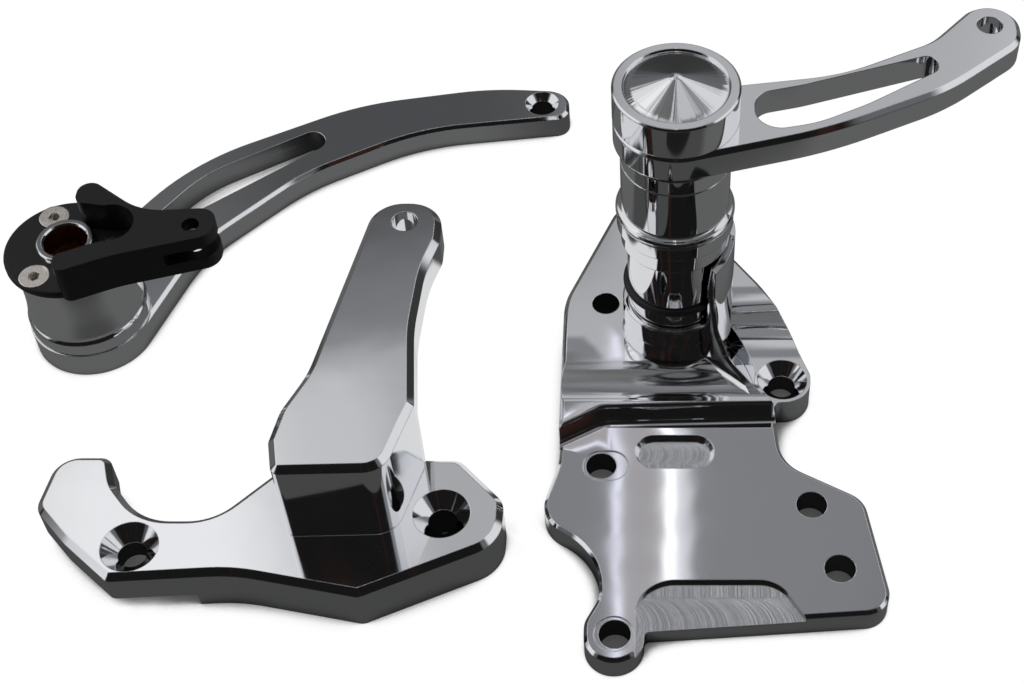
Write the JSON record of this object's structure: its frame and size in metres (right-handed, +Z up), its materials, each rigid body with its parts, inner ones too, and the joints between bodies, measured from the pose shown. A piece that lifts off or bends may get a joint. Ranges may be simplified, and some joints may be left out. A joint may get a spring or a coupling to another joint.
{
  "type": "motorcycle forward controls",
  "caption": "Billet forward controls for a cruiser: shift bracket with pivoting lever on a post, brake lever with black actuator, and hooked brake bracket.",
  "frame": {"origin": "centre of the set's footprint, on the surface that it lies on", "axes": "+X to the right in the picture, towards the shift lever's end, +Y away from the viewer, +Z up"},
  "size_m": [0.3459, 0.2628, 0.1377],
  "materials": {
    "bracket_aluminium": "polished",
    "polished_aluminium": "polished",
    "chrome": "mirror",
    "bronze": "satin",
    "steel": "satin",
    "black_anodised": "satin",
    "black_rubber": "matte"
  },
  "bodies": {
    "base": {"shift_bracket": "bracket_aluminium", "pivot_tube": "polished_aluminium", "tube_seal": "black_rubber", "base_seal": "black_rubber", "pivot_sleeve": "chrome", "lower_bushing": "bronze", "upper_bushing": "bronze", "thrust_washer": "steel", "brake_lever": "polished_aluminium", "outer_bushing": "bronze", "inner_bushing": "bronze", "hub_ferrule": "chrome", "actuator": "black_anodised", "actuator_screw_1": "steel", "actuator_screw_2": "steel", "actuator_screw_3": "steel", "brake_bracket": "bracket_aluminium"},
    "lever_assembly": {"shift_lever": "polished_aluminium", "end_cap": "chrome", "pivot_shaft": "steel", "retaining_washer": "steel", "retaining_nut": "steel"}
  },
  "joints": [
    {"name": "shift_pivot", "type": "hinge", "parent": "base", "child": "lever_assembly", "pos_m": [0.0605, -0.0024, 0.11665], "axis": [0, 0, 1], "range_deg": [-20, 20]}
  ]
}
